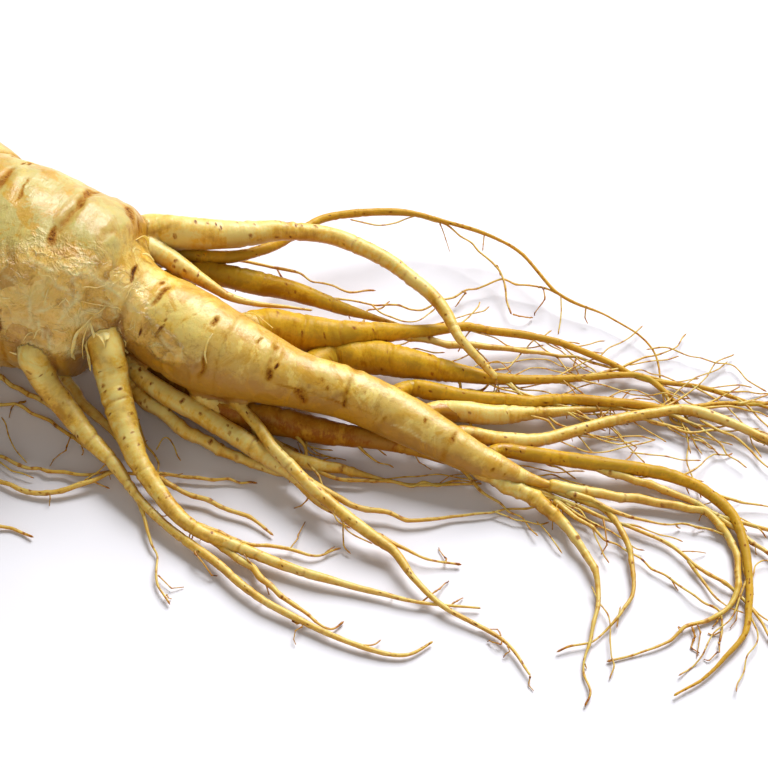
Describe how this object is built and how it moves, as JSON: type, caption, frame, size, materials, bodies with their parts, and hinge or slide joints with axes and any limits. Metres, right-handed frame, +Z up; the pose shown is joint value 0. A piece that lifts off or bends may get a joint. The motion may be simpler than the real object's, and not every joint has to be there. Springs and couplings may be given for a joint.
{
  "type": "ginseng root",
  "caption": "Fresh ginseng root lying on its side: a ringed barrel-shaped body with a knobbly neck, a tap root, and side roots that spread into fine rootlets.",
  "frame": {"origin": "on the flat underside of the body, where the root rests on the table, below the middle of its thickest part", "axes": "+X towards the tips of the roots, -Y towards the side that the lower side roots spread to, +Z up from the table"},
  "size_m": [0.2218, 0.1236, 0.0369],
  "materials": {
    "root_skin": "moist cream to ochre root skin with brown ring scars"
  },
  "bodies": {
    "root": {"ginseng_root": "root_skin"}
  },
  "joints": []
}
